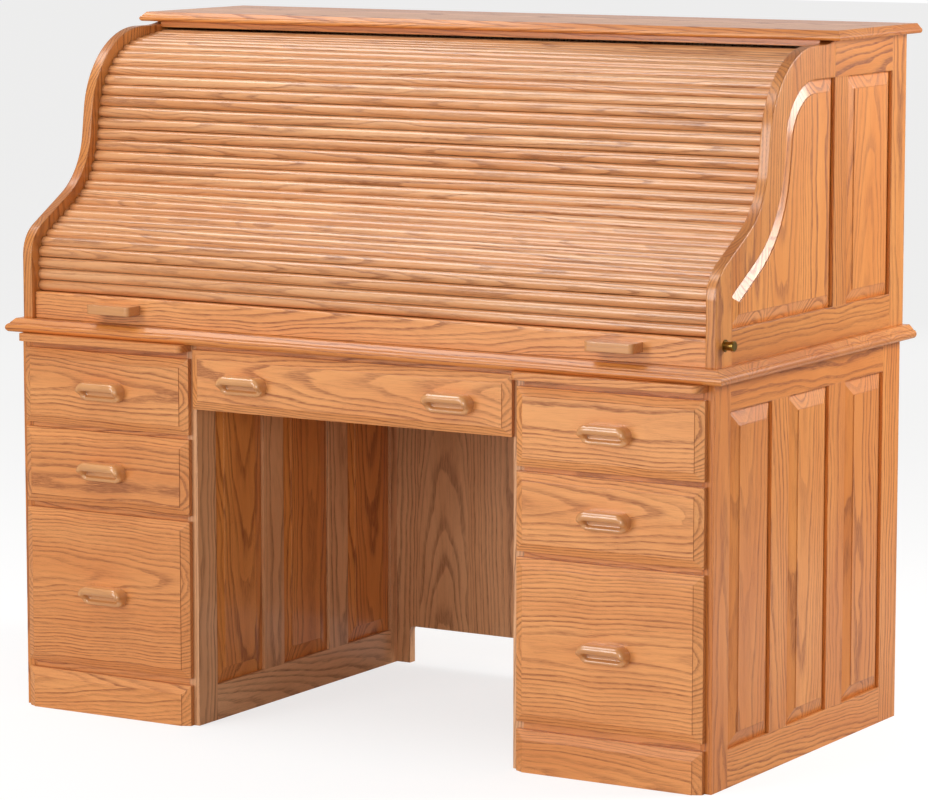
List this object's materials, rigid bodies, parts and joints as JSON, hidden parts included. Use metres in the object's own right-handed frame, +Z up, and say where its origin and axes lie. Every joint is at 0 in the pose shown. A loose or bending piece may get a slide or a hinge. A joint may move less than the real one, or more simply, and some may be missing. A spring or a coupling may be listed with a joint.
{
  "type": "roll-top desk",
  "caption": "Oak double-pedestal roll-top desk: S-curved tambour over a writing surface and organizer, framed panel sides, drawers with wooden pulls, kneehole.",
  "frame": {"origin": "on the floor, under the middle of the whole desk's bounding box", "axes": "+X to the right of someone sitting at the desk, +Y from the front to the back, +Z up"},
  "size_m": [1.524, 0.8216, 1.305],
  "materials": {
    "oak_case": "golden oak, satin lacquer",
    "oak_fronts": "golden oak, satin lacquer",
    "oak_slats": "golden oak, gloss lacquer",
    "oak_pulls": "golden oak, satin lacquer",
    "drawer_wood": "pale hardwood, thin lacquer",
    "brass": "aged, satin"
  },
  "bodies": {
    "desk": {"desktop": "oak_case", "outer_side_right": "oak_case", "outer_side_left": "oak_case", "kneehole_side_right": "oak_case", "kneehole_side_left": "oak_case", "base_side_panels": "oak_case", "back_panel": "oak_case", "plinth_fronts": "oak_fronts", "pedestal_bottoms": "drawer_wood", "face_rails": "oak_fronts", "drawer_runners": "drawer_wood", "hutch_side_right": "oak_case", "hutch_side_left": "oak_case", "hutch_side_panels": "oak_case", "hutch_top": "oak_case", "hutch_back": "drawer_wood", "hutch_valance": "oak_case", "organizer_case": "oak_case", "organizer_dividers": "oak_case", "lock_collar": "brass"},
    "right_top_drawer": {"drawer_front_right_top": "oak_fronts", "drawer_box_right_top": "drawer_wood", "drawer_pull_right_top": "oak_pulls"},
    "right_middle_drawer": {"drawer_front_right_middle": "oak_fronts", "drawer_box_right_middle": "drawer_wood", "drawer_pull_right_middle": "oak_pulls"},
    "right_bottom_drawer": {"drawer_front_right_bottom": "oak_fronts", "drawer_box_right_bottom": "drawer_wood", "drawer_pull_right_bottom": "oak_pulls"},
    "left_top_drawer": {"drawer_front_left_top": "oak_fronts", "drawer_box_left_top": "drawer_wood", "drawer_pull_left_top": "oak_pulls"},
    "left_middle_drawer": {"drawer_front_left_middle": "oak_fronts", "drawer_box_left_middle": "drawer_wood", "drawer_pull_left_middle": "oak_pulls"},
    "left_bottom_drawer": {"drawer_front_left_bottom": "oak_fronts", "drawer_box_left_bottom": "drawer_wood", "drawer_pull_left_bottom": "oak_pulls"},
    "centre_drawer": {"drawer_front_centre": "oak_fronts", "drawer_box_centre": "drawer_wood", "drawer_pulls_centre": "oak_pulls"},
    "right_writing_board": {"writing_board_right": "oak_fronts"},
    "left_writing_board": {"writing_board_left": "oak_fronts"},
    "left_organizer_drawer": {"organizer_drawer_left": "oak_fronts"},
    "right_organizer_drawer": {"organizer_drawer_right": "oak_fronts"},
    "tambour_06_07": {"tambour_slats_06": "oak_slats", "tambour_slats_07": "oak_slats"},
    "tambour_08_09": {"tambour_slats_08": "oak_slats", "tambour_slats_09": "oak_slats"},
    "tambour_10_11": {"tambour_slats_10": "oak_slats", "tambour_slats_11": "oak_slats"},
    "tambour_04_05": {"tambour_slats_04": "oak_slats", "tambour_slats_05": "oak_slats"},
    "tambour_02_03": {"tambour_slats_02": "oak_slats", "tambour_slats_03": "oak_slats"},
    "lift_bar": {"lift_bar": "oak_fronts", "lift_handles": "oak_pulls", "tambour_slats_01": "oak_slats"},
    "lock_bolt": {"lock_plunger": "brass"}
  },
  "joints": [
    {"name": "right_top_drawer_slide", "type": "slide", "parent": "desk", "child": "right_top_drawer", "axis": [0, -1, 0], "range_m": [0, 0.42]},
    {"name": "right_middle_drawer_slide", "type": "slide", "parent": "desk", "child": "right_middle_drawer", "axis": [0, -1, 0], "range_m": [0, 0.42]},
    {"name": "right_bottom_drawer_slide", "type": "slide", "parent": "desk", "child": "right_bottom_drawer", "axis": [0, -1, 0], "range_m": [0, 0.42]},
    {"name": "left_top_drawer_slide", "type": "slide", "parent": "desk", "child": "left_top_drawer", "axis": [0, -1, 0], "range_m": [0, 0.42]},
    {"name": "left_middle_drawer_slide", "type": "slide", "parent": "desk", "child": "left_middle_drawer", "axis": [0, -1, 0], "range_m": [0, 0.42]},
    {"name": "left_bottom_drawer_slide", "type": "slide", "parent": "desk", "child": "left_bottom_drawer", "axis": [0, -1, 0], "range_m": [0, 0.42]},
    {"name": "centre_drawer_slide", "type": "slide", "parent": "desk", "child": "centre_drawer", "axis": [0, -1, 0], "range_m": [0, 0.35]},
    {"name": "right_writing_board_slide", "type": "slide", "parent": "desk", "child": "right_writing_board", "axis": [0, -1, 0], "range_m": [0, 0.33]},
    {"name": "left_writing_board_slide", "type": "slide", "parent": "desk", "child": "left_writing_board", "axis": [0, -1, 0], "range_m": [0, 0.33]},
    {"name": "left_organizer_drawer_slide", "type": "slide", "parent": "desk", "child": "left_organizer_drawer", "axis": [0, -1, 0], "range_m": [0, 0.15]},
    {"name": "right_organizer_drawer_slide", "type": "slide", "parent": "desk", "child": "right_organizer_drawer", "axis": [0, -1, 0], "range_m": [0, 0.15]},
    {"name": "tambour_lift", "type": "hinge", "parent": "desk", "child": "tambour_06_07", "pos_m": [0, 0.05012, 0.85784], "axis": [-1, 0, 0], "range_deg": [0, 86.43]},
    {"name": "tambour_bend_08_09", "type": "hinge", "parent": "tambour_06_07", "child": "tambour_08_09", "pos_m": [0, -0.12419, 1.15323], "axis": [-1, 0, 0], "range_deg": [0, 32.48]},
    {"name": "tambour_bend_10_11", "type": "hinge", "parent": "tambour_08_09", "child": "tambour_10_11", "pos_m": [0, -0.03735, 1.24216], "axis": [-1, 0, 0], "range_deg": [-10.19, 0]},
    {"name": "tambour_bend_04_05", "type": "hinge", "parent": "tambour_06_07", "child": "tambour_04_05", "pos_m": [0, -0.15019, 1.02794], "axis": [-1, 0, 0], "range_deg": [0, 7.46]},
    {"name": "tambour_bend_02_03", "type": "hinge", "parent": "tambour_04_05", "child": "tambour_02_03", "pos_m": [0, -0.23742, 0.93738], "axis": [-1, 0, 0], "range_deg": [0, 1.55]},
    {"name": "tambour_bend_bar", "type": "hinge", "parent": "tambour_02_03", "child": "lift_bar", "pos_m": [0, -0.33025, 0.8587], "axis": [-1, 0, 0], "range_deg": [-14.55, 0]},
    {"name": "lock_push", "type": "slide", "parent": "desk", "child": "lock_bolt", "axis": [-1, 0, 0], "range_m": [0, 0.012]}
  ],
  "couplings": [
    {"joint": "tambour_bend_08_09", "follows": "tambour_lift", "ratio": 0.37555},
    {"joint": "tambour_bend_10_11", "follows": "tambour_lift", "ratio": -0.11769},
    {"joint": "tambour_bend_04_05", "follows": "tambour_lift", "ratio": 0.08614},
    {"joint": "tambour_bend_02_03", "follows": "tambour_lift", "ratio": 0.01768},
    {"joint": "tambour_bend_bar", "follows": "tambour_lift", "ratio": -0.16815}
  ]
}
